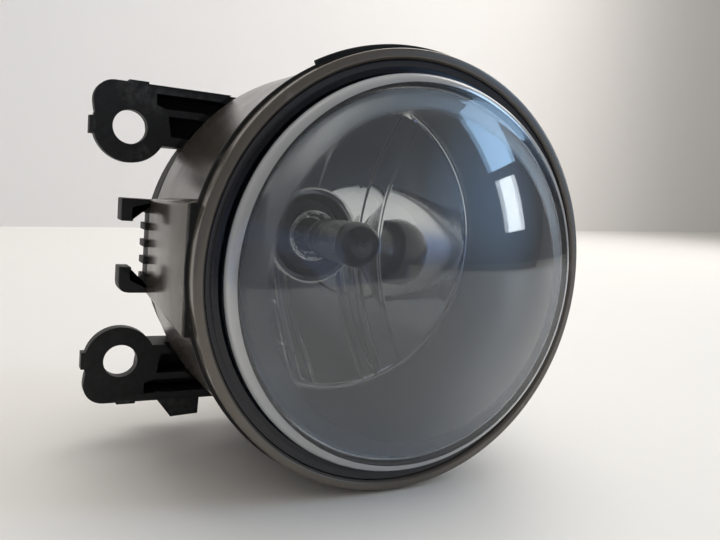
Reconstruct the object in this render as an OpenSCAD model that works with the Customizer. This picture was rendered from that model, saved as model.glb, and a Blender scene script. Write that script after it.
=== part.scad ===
// Round automotive fog lamp: a domed glass lens on an aluminised housing that
// tilts in a black rear bracket with three ears. The origin is the centre of
// the flange's front edge, the beam leaves along -Y and +Z is up.

/* [Flange and lens] */
// Outer radius of the front flange
flange_r = 48.5; // [44:0.1:56]
// Depth of the flange along the beam axis
flange_depth = 4; // [3.2:0.1:5.2]
// Width of the flange's front lip
lip_w = 2.2; // [1.6:0.1:2.8]
// Radius of the lens where its skirt stands in the groove
lens_r = 43.3; // [39.8:0.1:45]
// Glass thickness
glass_t = 2.4; // [1.8:0.1:3]
// Height of the lens shoulder in front of the flange
shoulder_h = 3.4; // [2.4:0.1:4.5]
// Height of the dome in front of the shoulder
dome_h = 10.5; // [6:0.1:15]
// Depth of the groove that holds the lens
groove_depth = 2.8; // [2:0.1:3]

/* [Housing] */
// Outer radius of the housing's drum
drum_r = 47.8; // [43:0.1:48.3]
// Depth at which the drum starts to round over
drum_depth = 43; // [38:0.1:46]
// Wall of the housing
wall = 2.2; // [1.6:0.1:2.8]
// Depth of the housing's flat rear face
rear_depth = 59.5; // [58:0.1:62]
// Length of the side box along the beam axis
box_len = 36; // [28:0.1:38]
// Distance of the box's flat face from the lamp axis
box_x = 48.8; // [48.4:0.1:52]
// Depth of the connector rail's hooks
hook_len = 5.6; // [4:0.1:6]

/* [Reflector and bulb] */
// Height of the bulb axis above the lamp axis
bulb_z = 4.4; // [2:0.1:5]
// Focal length of the reflector's parabola
focal = 15.3; // [14:0.1:16.5]
// Radius of the reflector's front edge
bowl_r = 38.2; // [35:0.1:38.4]
// Depth of the reflector's front edge
bowl_depth = 33.2; // [31:0.1:35]
// Radius of the bulb opening in the reflector
opening_r = 12; // [11.2:0.1:13]
// Thickness of the reflector
bowl_t = 1.8; // [1.4:0.1:2.2]
// Radius of the bulb's base plug
plug_r = 9.8; // [9:0.1:10.4]
// Radius over the bulb's locking lugs
lug_r = 12.4; // [11.6:0.1:12.8]
// Radius of the bulb's glass
bulb_r = 5.6; // [4.6:0.1:6]
// Depth of the bulb's tip
tip_depth = 22; // [20:0.1:26]
// Twist of the bulb between locked and free
twist = 45; // [30:1:50]

/* [Bracket] */
// Distance of the two left ears' holes from the lamp axis
ear_x = 52.4; // [50.5:0.1:58]
// Height of the upper ear's hole above the lamp axis
ear_z = 29; // [26:0.1:30]
// Distance of the right ear's hole from the lamp axis
side_ear_x = 59.9; // [57.5:0.1:66]
// Radius of the ear holes
hole_r = 4.1; // [3:0.1:5]
// Width of plastic round an ear hole
ear_rim = 4.5; // [3.5:0.1:5]
// Depth of the ears' front faces
ear_depth = 50; // [48:0.1:51]
// Thickness of the ears
ear_t = 3.2; // [2.4:0.1:4]
// Outer radius of the bracket's ring
ring_r = 46; // [44:0.1:48]
// Radial width of the bracket's ring
ring_w = 7.5; // [6:0.1:7.7]

/* [Aiming] */
// Depth of the tilt axis
pivot_depth = 57.6; // [57:0.1:58.2]
// Radius of the pivot pins
pin_r = 2; // [1.5:0.1:2.4]
// Height of the adjuster screw above the tilt axis
adjust_z = 36; // [34:0.1:37]
// Radius of the adjuster screw
screw_r = 2.5; // [2:0.1:3]
// Radius of the barrel nut
barrel_r = 4.5; // [4:0.1:4.8]

/* [Hidden] */
fine = 128;
mid = 48;
run_gap = 0.06;
seat_gap = 0.3;
pan_h = 1.8;
small_screw_r = 1.2;
tilt_gap = 3.8;
thread_gap = 0.2;

groove_r = flange_r - lip_w;
lens_in = lens_r - glass_t;
shelf_in = lens_in - 0.3;
adhesive_h = groove_depth - 1.0;
shoulder_r = lens_r - 0.5;
dome_r = shoulder_r - 1.3;
sphere_r = (dome_r * dome_r + dome_h * dome_h) / (2 * dome_h);
dome_y = -shoulder_h - dome_h + sphere_r;

gasket_back = flange_depth + 1.4;
gasket_r = flange_r + 0.6;
crown_front = flange_depth + 0.4;
box_low = -13.2;
box_top = 13;
rail_low = -10.3;
rail_top = 12;
bezel_y = flange_depth + 3;
drum_in = drum_r - wall;
vertex = bowl_depth + bowl_r * bowl_r / (4 * focal);
opening_depth = vertex - opening_r * opening_r / (4 * focal);
rim_w = 1.9;
collar_w = 1.6;

screw_angles = [30, 150, 250];
screw_ring = 22.5;
boss_r = 3.2;
boss_hole_r = 1.6;
boss_front = vertex - (screw_ring + boss_r) * (screw_ring + boss_r) / (4 * focal) + bowl_t / 2;
screw_front = vertex - screw_ring * screw_ring / (4 * focal) + bowl_t + 1.6;
vent_x = -21;
vent_z = -11;
vent_bore_r = 3;
vent_flange_r = 4.4;
vent_back = rear_depth + 7;
membrane_r = 2.6;
membrane_front = rear_depth + 5.6;

holder_front = opening_depth + 2.2;
groove_front = holder_front + 3.4;
lug_t = 2;
groove_back = groove_front + lug_t + 2 * seat_gap;
seat_front = groove_back + 2.2;
holder_back = seat_front + 2.8;
seal_r = lug_r + 0.5;
plug_front = holder_front + 0.8;
flange_front = holder_back + 0.35;
holder_r = lug_r + seat_gap + 2.6;
neck_r = holder_r + wall;
neck_back = holder_back - 1.6;
lug_angles = [90, 205, 325];
screw_ears = [0, 180];
ear_boss_r = 3;
ear_screw_r = 1.4;
ear_screw_at = neck_r + 2;
ear_screw_tip = rear_depth + 1;
neck_in = 3.6;
coat_r = bulb_r + 0.15;
filament_y = 40;

pivot_x = ring_r - ring_w - 0.8;
lug_w = 4;
lug_h = 10;
pin_in = pivot_x - lug_w - 1.8;
bush_r = pin_r + 1.5;
barrel_y = pivot_depth + 1.2;
bridge_front = barrel_y + barrel_r + 2 + tilt_gap;
bridge_t = 5;
screw_tip = barrel_y - barrel_r + 1.1;
ring_front = ear_depth + 4.6;
ring_back = ring_front + 6;
arm_top = ear_z + 10.7;
arm_low = ear_z - 3.9;

black = [0.10, 0.10, 0.11];
smoke = [0.42, 0.41, 0.40];
silver = [0.78, 0.79, 0.80];
steel = [0.62, 0.63, 0.65];
clear = [0.72, 0.82, 0.90, 0.45];

// a solid of revolution about the beam axis, from points of radius and depth
module turned(points, facets = fine) rotate([-90, 0, 0]) rotate_extrude($fn = facets) polygon(points);

// a round bar along the beam axis
module bar(r, from, to, facets = mid) translate([0, from, 0]) rotate([-90, 0, 0])
  cylinder(r = r, h = to - from, $fn = facets);

// a tube along the beam axis
module tube(outer, inner, from, to, facets = mid) difference() {
  bar(outer, from, to, facets);
  bar(inner, from - 1, to + 1, facets);
}

// a bar across the lamp, from one X to another
module cross_bar(r, from, to, y, z) translate([from, y, z]) rotate([0, 90, 0])
  cylinder(r = r, h = to - from, $fn = mid);

// a plate in the plane of the bracket, from a flat outline of X and Z
module plate(from, to) translate([0, to, 0]) rotate([90, 0, 0]) linear_extrude(to - from) children();

// points along the round-over at the back of the drum
function round_over(r, y, size, steps = 6) =
  [for (i = [0:steps]) [r - size + size * cos(90 * i / steps), y + size * sin(90 * i / steps)]];

// points along the reflector's parabola, between two radii
function parabola(from, to, shift = 0, steps = 22) =
  [for (i = [0:steps]) let (r = from + (to - from) * i / steps) [r, vertex + shift - r * r / (4 * focal)]];

// points along the lens dome, from the shoulder to the axis
function dome(radius, edge, steps = 18) =
  let (span = asin(edge / radius))
  [for (i = [0:steps]) let (a = span * (1 - i / steps)) [radius * sin(a), dome_y - radius * cos(a)]];

// the drum and its sloping back, as one turned outline
function shell(r, y, back, size) = concat(
  [[0, flange_depth], [r, flange_depth]],
  round_over(r, y, size),
  [[r - size - 1.5, y + size + 0.4], [27, back - 4.5], [23, back], [0, back]]);

module housing_box() {
  // flat side face, chamfered below, that runs back from the gasket
  front = gasket_back;
  back = front + box_len;
  color(smoke) hull() {
    translate([-box_x, front, box_low]) cube([4, 0.1, box_top - box_low]);
    translate([-box_x, back - 0.1, rail_low]) cube([5, 0.1, rail_top - rail_low]);
    translate([-box_x + 12, front, -22]) cube([4, 0.1, 38]);
    translate([-box_x + 12, back - 0.1, -20]) cube([4, 0.1, 34]);
  }
}

module rail_hooks() {
  front = gasket_back + box_len;
  reach = 6.3;
  lip = 2.8;
  // upper hook
  translate([-box_x - reach, front, rail_top - 2.2]) cube([reach + 2, hook_len, 2.2]);
  translate([-box_x - reach, front, rail_top - 5.3]) cube([lip, hook_len, 5.3]);
  // lower hook with a rounded outer corner
  translate([0, front + hook_len, 0]) rotate([90, 0, 0]) linear_extrude(hook_len) difference() {
    union() {
      translate([-box_x - reach + 2, rail_low + 2]) circle(r = 2, $fn = 32);
      translate([-box_x - reach, rail_low + 2]) square([lip, 4.2]);
      translate([-box_x - reach + 2, rail_low]) square([reach, 3.2]);
    }
    translate([-box_x - reach + lip, rail_low + 3.2]) square([2, 4]);
  }
  // wall between the hooks, with five ribs across it
  translate([-box_x, front - 0.5, rail_low]) cube([3.4, hook_len + 0.5, rail_top - rail_low]);
  for (i = [0:4]) translate([-box_x - 0.9, front, rail_low + 2.9 + 4.05 * i]) cube([1.4, hook_len, 1.7]);
}

module pivot_lug(side) {
  front = drum_depth + 5;
  difference() {
    translate([side > 0 ? pivot_x - lug_w - 1 : -pivot_x + 1, front, -lug_h / 2])
      cube([lug_w, pivot_depth + lug_h / 2 - front, lug_h]);
    cross_bar(bush_r, -pivot_x - 1, pivot_x + 1, pivot_depth, 0);
  }
}

module nut_lug() {
  half = 6.5;
  front = drum_depth + 5;
  difference() {
    translate([-half, front, adjust_z - barrel_r - 2])
      cube([2 * half, barrel_y + barrel_r + 2 - front, 2 * barrel_r + 4]);
    cross_bar(barrel_r + run_gap, -half - 1, half + 1, barrel_y, adjust_z);
    translate([0, 0, adjust_z]) bar(screw_r + 1, screw_tip - 2.4, barrel_y + 20);
  }
}

module housing() color(smoke) {
  difference() {
    union() {
      turned([[shelf_in, groove_depth], [groove_r, groove_depth], [groove_r, 0.5], [groove_r + 0.5, 0],
        [flange_r, 0], [flange_r, flange_depth], [drum_r, flange_depth], [drum_in, flange_depth + 0.4],
        [shelf_in, flange_depth + 0.4]]);
      difference() {
        union() {
          turned(shell(drum_r, drum_depth, rear_depth, 4));
          housing_box();
          translate([0, 0, bulb_z]) {
            bar(neck_r, rear_depth - 4, neck_back);
            at_ear_screws() bar(ear_boss_r, rear_depth - 4, neck_back);
          }
          // pads that square the sloping rear wall under the screws and the vent
          at_screws() bar(boss_r + wall, rear_depth - 9, rear_depth);
          at_vent() bar(vent_flange_r + 1, rear_depth - 6, rear_depth);
        }
        turned(shell(drum_in, drum_depth - 0.6, rear_depth - wall, 4));
        bar(drum_in, flange_depth - 1, flange_depth + 2, fine);
      }
      rail_hooks();
      difference() {
        union() {
          for (side = [-1, 1]) pivot_lug(side);
          nut_lug();
        }
        turned(shell(drum_in, drum_depth - 0.6, rear_depth - wall, 4));
      }
    }
    translate([0, 0, bulb_z]) {
      bar(holder_r, rear_depth - wall - 2, neck_back + 1);
      at_ear_screws() bar(ear_screw_r, ear_screw_tip, neck_back + 1);
    }
    at_screws() {
      bar(boss_r, rear_depth - 12, rear_depth - wall);
      bar(boss_hole_r, rear_depth - wall - 1, neck_back + 1);
    }
    at_vent() bar(vent_bore_r, rear_depth - wall - 3, rear_depth + 1);
  }
}

// places of the reflector screws, about the bulb axis, and of the vent
module at_screws() for (a = screw_angles)
  translate([screw_ring * cos(a), 0, bulb_z + screw_ring * sin(a)]) children();
module at_vent() translate([vent_x, 0, vent_z]) children();

// the skin of the bezel: a tube from the round lens opening to the higher rim of the reflector
module bezel_skin(front_r, back_r) hull() {
  bar(front_r, bezel_y - 0.3, bezel_y - 0.2, 96);
  translate([0, 0, bulb_z]) bar(back_r, bowl_depth - 0.1, bowl_depth, 96);
}

module inner_bezel() color(silver) {
  turned([
    [shelf_in - 0.9, 0.4], [shelf_in - 0.1, 0.4], [shelf_in - 0.1, groove_depth - 0.8],
    [shelf_in + 0.9, groove_depth - 0.8], [shelf_in + 0.9, groove_depth], [shelf_in - 0.1, groove_depth],
    [shelf_in - 0.2, bezel_y], [shelf_in - 1.7, bezel_y]]);
  difference() {
    bezel_skin(shelf_in - 0.4, bowl_r + rim_w - 0.1);
    // a second skin inside the first, run past both ends
    hull() {
      bar(shelf_in - 1.5, bezel_y - 0.5, bezel_y - 0.2, 96);
      translate([0, 0, bulb_z]) bar(bowl_r + 0.5, bowl_depth, bowl_depth + 0.2, 96);
    }
  }
}

module reflector() color(silver) difference() {
  union() {
    translate([0, 0, bulb_z]) turned(concat(
      parabola(opening_r, bowl_r),
      [[bowl_r + rim_w, bowl_depth], [bowl_r + rim_w, bowl_depth + bowl_t]],
      parabola(bowl_r + 0.6, opening_r + collar_w, bowl_t),
      [[opening_r + collar_w, holder_front - 0.1], [opening_r, holder_front - 0.1]]));
    // screw bosses on the back, kept behind the mirror side
    difference() {
      at_screws() bar(boss_r, boss_front, rear_depth - wall);
      translate([0, 0, bulb_z]) turned(concat([[0, bowl_depth - 20], [bowl_r, bowl_depth - 20]],
        parabola(bowl_r, 0, bowl_t / 2)));
    }
  }
  at_screws() bar(small_screw_r, screw_front, rear_depth);
}

module lens() color(clear) turned(concat(
  [[lens_in, adhesive_h + 0.2], [lens_r, adhesive_h + 0.2], [lens_r - 0.2, -shoulder_h + 1.6],
   [shoulder_r, -shoulder_h + 0.8], [shoulder_r - 0.5, -shoulder_h + 0.2]],
  dome(sphere_r, dome_r),
  [for (i = [18:-1:0]) dome(sphere_r - glass_t, lens_in - 1.2)[i]],
  [[lens_in - 0.4, -shoulder_h + glass_t + 1]]));

module lens_adhesive() color(black) turned([
  [shelf_in + 1, groove_depth], [shelf_in + 1, adhesive_h + 0.3], [lens_r, adhesive_h + 0.2],
  [lens_r, 0.6], [groove_r, 0.6], [groove_r, groove_depth]]);

module rim_gasket() color(black) {
  difference() {
    union() {
      turned([[drum_r - 1, flange_depth], [flange_r - 0.2, flange_depth], [gasket_r, crown_front],
        [gasket_r, gasket_back], [drum_r - 1, gasket_back]]);
      // raised crown over the top of the flange
      intersection() {
        bar(flange_r + 1.4, crown_front, gasket_back, fine);
        plate(0, 10) polygon(concat([[0, 0]], [for (a = [64:8:120]) 70 * [cos(a), sin(a)]]));
      }
      // pad that closes the front of the side box
      translate([-box_x + 0.1, crown_front, box_low])
        cube([4, gasket_back - crown_front, box_top - box_low]);
    }
    bar(drum_r + 0.05, flange_depth - 1, gasket_back + 1, fine);
  }
}

module bulb_holder() color(black) translate([0, 0, bulb_z]) {
  difference() {
    union() {
      turned([[plug_r + run_gap, holder_front], [holder_r, holder_front], [holder_r, neck_back],
        [neck_r + 2, neck_back], [neck_r + 2, holder_back], [seal_r, holder_back], [seal_r, seat_front],
        [plug_r + run_gap, seat_front], [plug_r + run_gap, groove_back], [lug_r + seat_gap, groove_back],
        [lug_r + seat_gap, groove_front], [plug_r + run_gap, groove_front]], mid);
      for (a = screw_ears) rotate([0, a, 0]) translate([neck_r + 1, neck_back, -ear_boss_r])
        cube([ear_screw_at + ear_boss_r - neck_r - 1, holder_back - neck_back, 2 * ear_boss_r]);
    }
    // entry slots, reached when the bulb has turned
    for (a = lug_angles) rotate([0, twist - a, 0]) translate([plug_r - 3, groove_back - 0.5, -3.4])
      cube([lug_r + 0.4 - plug_r + 3, seat_front - groove_back + 1, 6.8]);
    at_ear_screws() bar(ear_screw_r, neck_back - 1, holder_back + 1);
  }
}

// places of the holder's two screws, about the bulb axis
module at_ear_screws() for (a = screw_ears) rotate([0, a, 0]) translate([ear_screw_at, 0, 0]) children();

// a screw with a pan head and a cross recess, from its tip to the seat of its head
module pan_screw(r, head, tip, seat) {
  bar(r, tip, seat + 0.5);
  difference() {
    bar(head, seat, seat + pan_h);
    cross_slot(seat + pan_h);
  }
}

module holder_screws() color(steel) translate([0, 0, bulb_z]) at_ear_screws()
  pan_screw(ear_screw_r, 2.7, ear_screw_tip, holder_back);

// recess for a cross-head driver
module cross_slot(y) for (r = [0, 90]) rotate([0, r, 0])
  translate([-1.6, y - 0.9, -0.35]) cube([3.2, 2, 0.7]);

module reflector_screws() color(steel) at_screws()
  pan_screw(small_screw_r, 2.8, screw_front, rear_depth);

module vent_tube() color(black) at_vent() difference() {
  union() {
    bar(vent_bore_r, rear_depth - wall, rear_depth);
    bar(vent_flange_r, rear_depth, rear_depth + 1.6);
    bar(3.4, rear_depth + 1.6, vent_back);
  }
  bar(1.8, rear_depth - wall - 1, membrane_front);
  bar(membrane_r, membrane_front, vent_back + 1);
}

module vent_membrane() color([0.85, 0.85, 0.82]) at_vent()
  bar(membrane_r, membrane_front, membrane_front + 0.6);

module pivot_pin(side) color(steel) mirror([side > 0 ? 0 : 1, 0, 0])
  cross_bar(pin_r, pin_in, ring_r - 0.2, pivot_depth, 0);
module pivot_pin_left() pivot_pin(-1);
module pivot_pin_right() pivot_pin(1);

module pivot_bush(side) color([0.88, 0.87, 0.82]) mirror([side > 0 ? 0 : 1, 0, 0]) difference() {
  union() {
    cross_bar(bush_r, pivot_x - lug_w - 1, pivot_x - 1, pivot_depth, 0);
    cross_bar(bush_r + 1, pivot_x - 1, pivot_x - 0.4, pivot_depth, 0);
  }
  cross_bar(pin_r + run_gap, 0, ring_r, pivot_depth, 0);
}
module pivot_bush_left() pivot_bush(-1);
module pivot_bush_right() pivot_bush(1);

module barrel_nut() color([0.88, 0.87, 0.82]) difference() {
  cross_bar(barrel_r, -6, 6, barrel_y, adjust_z);
  translate([0, 0, adjust_z]) bar(screw_r + thread_gap, barrel_y - 10, barrel_y + 10);
}

module adjuster_screw() color(steel) translate([0, 0, adjust_z]) {
  bar(screw_r, screw_tip, bridge_front + bridge_t + 0.2);
  difference() {
    union() {
      bar(5.2, bridge_front + bridge_t + 0.2, bridge_front + bridge_t + 1.6);
      bar(4.2, bridge_front + bridge_t + 1.6, bridge_front + bridge_t + 6);
    }
    translate([0, bridge_front + bridge_t + 2.6, 0]) rotate([-90, 0, 0]) cylinder(r = 2.9, h = 5, $fn = 6);
  }
}

module screw_retainer() color(steel) translate([0, 0, adjust_z])
  tube(4.4, screw_r, bridge_front - 1.2, bridge_front - 0.2);

// the flat outline of an ear, squared at its outer corner, with two gate marks
module ear_outline() {
  side = hole_r + ear_rim;
  top = arm_top - ear_z;
  circle(r = side, $fn = 64);
  hull() {
    translate([4.8 - side, top - 4.8]) circle(r = 4.8, $fn = 32);
    translate([4.8 - side, 4.4]) circle(r = 4.6, $fn = 32);
    translate([4, 4]) square([4, top - 4]);
  }
  translate([-side - 0.7, -2.4]) square([2, 4.2]);
  translate([-0.6, top - 1]) square([4.6, 1.5]);
}

// an arm from an ear to the ring: a shallow tray with a rib along it
module arm() {
  difference() {
    union() {
      plate(ear_depth, ring_back) polygon([[-ear_x + 4.2, arm_top], [-22, arm_top], [-32, arm_low],
        [-ear_x + 6, arm_low]]);
      plate(ear_depth, ear_depth + ear_t) translate([-ear_x, ear_z]) ear_outline();
    }
    // pockets on both sides of the rib
    plate(ear_depth - 1, ring_back - 1.8) polygon([[-ear_x + 6, arm_top - 2], [-20, arm_top - 2],
      [-20, ear_z + 5.2], [-ear_x + 8, ear_z + 5.2], [-ear_x + 6, arm_top - 4.6]]);
    plate(ear_depth - 1, ring_back - 1.8) polygon([[-ear_x + 9, ear_z + 3.5], [-20, ear_z + 3.5],
      [-34, arm_low + 2.4], [-ear_x + 9.8, arm_low + 2.4]]);
    translate([-ear_x, 0, ear_z]) bar(hole_r, ear_depth - 1, ring_back + 1);
  }
}

module bracket_relief() {
  // keeps the bracket clear of the drum as the lamp tilts
  bar(drum_r + 0.6, ear_depth - 10, ear_depth + 2.8, fine);
  bar(ring_r - ring_w, ear_depth - 10, ring_back + 20, fine);
}

module mounting_bracket() color(black) {
  difference() {
    union() {
      bar(ring_r, ring_front, ring_back, fine);
      arm();
      mirror([0, 0, 1]) arm();
      // right ear on its arm
      plate(ear_depth, ear_depth + ear_t) translate([side_ear_x, 0]) circle(r = hole_r + ear_rim, $fn = 64);
      plate(ear_depth, ear_depth + ear_t) translate([ring_r, -7.5]) square([side_ear_x - ring_r - 4, 15]);
      plate(ear_depth, ring_back - 2) translate([ring_r - 3, -7.5]) square([8, 15]);
      // wedge foot under the lower arm
      plate(ear_depth, ring_back - 2) polygon([[-43.2, -37.4], [-42.9, -arm_top], [-39.3, -44.4],
        [-32.2, -44], [-32, -arm_top + 0.4]]);
    }
    bracket_relief();
    translate([side_ear_x, 0, 0]) bar(hole_r, ear_depth - 1, ear_depth + 20);
    cross_bar(pin_r, -ring_r - 1, ring_r + 1, pivot_depth, 0);
    // gap in the ring under the adjuster bridge
    translate([-9, ring_front - 1, 20]) cube([18, 40, 40]);
  }
  pivot_brackets();
  bridge();
}

module pivot_brackets() for (side = [-1, 1]) mirror([side > 0 ? 0 : 1, 0, 0]) difference() {
  translate([pivot_x, ring_front, -lug_h / 2]) cube([ring_r - pivot_x - 1, ring_back - ring_front, lug_h]);
  cross_bar(pin_r, 0, ring_r + 1, pivot_depth, 0);
}

// bridge over the gap in the ring that carries the adjuster screw
module bridge() {
  difference() {
    union() {
      for (x = [-12.5, 9]) translate([x, ring_front, adjust_z + 2])
        cube([3.5, bridge_front + bridge_t - ring_front, 6]);
      translate([-12.5, bridge_front, adjust_z - 6]) cube([25, bridge_t, 14]);
    }
    translate([0, 0, adjust_z]) bar(screw_r + run_gap, bridge_front - 1, bridge_front + bridge_t + 1);
  }
}

module bulb_base() color(black) translate([0, 0, bulb_z]) {
  bar(plug_r, plug_front, seat_front + 0.6);
  bar(plug_r - 1, seat_front, flange_front);
  for (a = lug_angles) intersection() {
    bar(lug_r, groove_front + seat_gap, groove_front + seat_gap + lug_t);
    rotate([0, -a, 0]) translate([0, groove_front, -3]) cube([20, 6, 6]);
  }
  bar(holder_r - 0.6, flange_front, flange_front + 2.4);
  // right-angle connector shell that opens downwards
  difference() {
    union() {
      bar(9, flange_front + 2.4, flange_front + 14.4);
      translate([-9, flange_front + 2.4, -24]) cube([18, 12, 24]);
      translate([-3, flange_front + 14.4, -16]) cube([6, 1.6, 6]);
    }
    translate([-7.4, flange_front + 4, -25]) cube([14.8, 8.8, 15]);
  }
}

module bulb_seal() color([0.55, 0.25, 0.15]) translate([0, 0, bulb_z])
  tube(seal_r - seat_gap, plug_r - 1, seat_front + 0.6, flange_front);

module bulb_collar() color(silver) translate([0, 0, bulb_z]) turned([
  [5, plug_front], [7.3, plug_front], [7.3, plug_front - 2.6], [6.7, plug_front - 2.6],
  [6.7, plug_front - 0.6], [5, plug_front - 0.6]], mid);

module bulb_glass() color(clear) translate([0, 0, bulb_z]) turned([
  [0, plug_front], [4.7, plug_front], [4.7, plug_front - 9], [bulb_r, plug_front - 13],
  [bulb_r, tip_depth + bulb_r + 1.2], [bulb_r - 0.6, tip_depth + bulb_r + 1.2],
  [bulb_r - 0.9, plug_front - 13], [neck_in, plug_front - 9], [0, plug_front - 8]], mid);

module bulb_tip_coat() color([0.08, 0.08, 0.1]) translate([0, 0, bulb_z]) turned(concat(
  [[0, tip_depth + 0.9]],
  [[bulb_r - 0.7, tip_depth + bulb_r + 1.2], [coat_r, tip_depth + bulb_r + 1.2]],
  [for (a = [0:9:90]) [(coat_r) * cos(a), tip_depth + bulb_r * (1 - sin(a))]]), mid);

module bulb_filament() color([0.5, 0.5, 0.5]) translate([0, filament_y - 2.2, bulb_z + 0.4])
  bar(0.6, 0, 4.4, 16);

module bulb_leads() color(steel) translate([0, 0, bulb_z]) {
  translate([0, 0, 0.4]) bar(0.3, filament_y + 2.2, plug_front - 8.3, 16);
  translate([0, 0, -2.6]) bar(0.3, filament_y - 5.2, plug_front - 8.7, 16);
  translate([0, filament_y - 5.2, -2.9]) cylinder(r = 0.3, h = 3.6, $fn = 16);
  translate([0, 0, 0.4]) bar(0.3, filament_y - 5.2, filament_y - 2.2, 16);
}

module bulb_terminals() color(steel) translate([0, 0, bulb_z])
  for (x = [-4.4, 1.6]) translate([x, flange_front + 7.8, -19]) cube([2.8, 0.8, 9]);

mounting_bracket();
housing();
inner_bezel();
reflector();
lens();
lens_adhesive();
rim_gasket();
bulb_holder();
holder_screws();
reflector_screws();
vent_tube();
vent_membrane();
pivot_pin_left();
pivot_pin_right();
pivot_bush_left();
pivot_bush_right();
barrel_nut();
adjuster_screw();
screw_retainer();
bulb_base();
bulb_seal();
bulb_collar();
bulb_glass();
bulb_tip_coat();
bulb_filament();
bulb_leads();
bulb_terminals();
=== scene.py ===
from math import cos, pi, radians, sin
import bmesh
import bpy
import numpy as np
from mathutils import Matrix, Vector


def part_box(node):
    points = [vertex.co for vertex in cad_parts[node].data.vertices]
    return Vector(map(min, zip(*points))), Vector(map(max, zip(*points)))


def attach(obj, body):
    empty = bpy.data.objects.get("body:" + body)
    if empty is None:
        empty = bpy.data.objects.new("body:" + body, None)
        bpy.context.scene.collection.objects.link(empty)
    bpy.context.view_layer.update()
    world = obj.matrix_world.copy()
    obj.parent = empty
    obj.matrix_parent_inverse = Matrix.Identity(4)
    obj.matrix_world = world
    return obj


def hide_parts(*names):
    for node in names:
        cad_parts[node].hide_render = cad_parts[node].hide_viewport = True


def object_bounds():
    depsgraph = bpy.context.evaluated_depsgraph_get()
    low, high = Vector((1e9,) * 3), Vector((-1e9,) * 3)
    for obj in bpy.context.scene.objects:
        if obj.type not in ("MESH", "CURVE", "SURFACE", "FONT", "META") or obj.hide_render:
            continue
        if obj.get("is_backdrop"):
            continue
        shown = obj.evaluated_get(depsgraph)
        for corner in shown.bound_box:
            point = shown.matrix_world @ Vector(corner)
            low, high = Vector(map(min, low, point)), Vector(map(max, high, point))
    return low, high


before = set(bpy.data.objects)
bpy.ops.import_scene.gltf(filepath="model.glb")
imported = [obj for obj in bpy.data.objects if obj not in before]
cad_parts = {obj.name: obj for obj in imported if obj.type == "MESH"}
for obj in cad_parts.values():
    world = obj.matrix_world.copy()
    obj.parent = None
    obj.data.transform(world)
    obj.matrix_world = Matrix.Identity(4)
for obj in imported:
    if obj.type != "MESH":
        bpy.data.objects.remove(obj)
cadBounds = [list(corner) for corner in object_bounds()]


def pick(look, names):
    # several values of a look at once, by their names in one string
    return [look[name] for name in names.split()]


# --- sizes taken from the frame, in millimetres ---
def boxOf(node):
    low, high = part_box(node)
    return np.array(low) * 1000, np.array(high) * 1000


lensLow, lensHigh = boxOf("lens")
glassLow, glassHigh = boxOf("bulb_glass")
bulbHeight = (glassLow[2] + glassHigh[2]) / 2
print("frame loaded,", len(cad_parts), "nodes, bulb axis at", round(bulbHeight, 2), "mm")


# --- surfaces: whole arrays of points, joined by quads ---
cornerShare, sharpestHalf = 0.45, 0.05  # how much of an edge one corner may use; an angle in radians


def softCorners(outline, radius, steps=4, closed=True):
    # each corner becomes a curve between two tangent points, q(s) = (1-s)^2 a + 2s(1-s) p + s^2 b,
    # with a and b one tangent length along the edges before and after the corner p
    points = np.asarray(outline, float)
    radius = np.broadcast_to(np.asarray(radius, float), (len(points),))
    before, after = np.roll(points, 1, 0) - points, np.roll(points, -1, 0) - points
    lengthBefore = np.linalg.norm(before, axis=1)
    lengthAfter = np.linalg.norm(after, axis=1)
    before = before / lengthBefore[:, None]
    after = after / lengthAfter[:, None]
    half = np.arccos(np.clip((before * after).sum(1), -1, 1)) / 2
    room = cornerShare * np.minimum(lengthBefore, lengthAfter)
    reach = np.minimum(radius / np.tan(np.maximum(half, sharpestHalf)), room)
    s = np.linspace(0, 1, steps + 1)[None, :, None]
    a = (points + before * reach[:, None])[:, None]
    b = (points + after * reach[:, None])[:, None]
    curve = (1 - s) ** 2 * a + 2 * s * (1 - s) * points[:, None] + s**2 * b
    if closed:
        return curve.reshape(-1, points.shape[1])
    return np.vstack([points[:1], curve[1:-1].reshape(-1, points.shape[1]), points[-1:]])


def gridFaces(rows, columns, closeRows, closeColumns):
    i = np.arange(rows if closeRows else rows - 1)
    j = np.arange(columns if closeColumns else columns - 1)
    i, j = [a.ravel() for a in np.meshgrid(i, j, indexing="ij")]
    iNext, jNext = (i + 1) % rows, (j + 1) % columns
    return np.stack([i * columns + j, iNext * columns + j, iNext * columns + jNext, i * columns + jNext], -1)


def gridPart(points, closeRows=False, closeColumns=True, caps=False):
    # a surface from a grid of points; caps closes the first and the last row with one face each
    rows, columns = points.shape[:2]
    faces = [gridFaces(rows, columns, closeRows, closeColumns)]
    if caps:
        faces.append(np.arange(columns)[None, ::-1])
        faces.append(np.arange((rows - 1) * columns, rows * columns)[None])
    return points.reshape(-1, 3), faces


def turned(profile, steps, loop=True):
    # a profile of radius, depth and (if given) centre height, carried round the lamp's axis:
    # x = r cos(a), y = depth, z = height + r sin(a)
    profile = np.asarray(profile, float)
    if profile.shape[1] == 2:
        profile = np.column_stack([profile, np.zeros(len(profile))])
    angle = np.linspace(0, 2 * pi, steps, endpoint=False)
    radius, depth, height = profile.T[:, :, None]
    points = np.stack([radius * np.cos(angle), depth + 0 * angle, height + radius * np.sin(angle)], -1)
    return gridPart(points, closeRows=loop)


def insetOutline(outline, amount):
    # each point moves inwards along the normal of its outline, which runs anticlockwise
    along = np.roll(outline, -1, 0) - np.roll(outline, 1, 0)
    normal = np.stack([-along[:, 1], along[:, 0]], -1)
    return outline + amount * normal / np.maximum(np.linalg.norm(normal, axis=1), 1e-9)[:, None]


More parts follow.
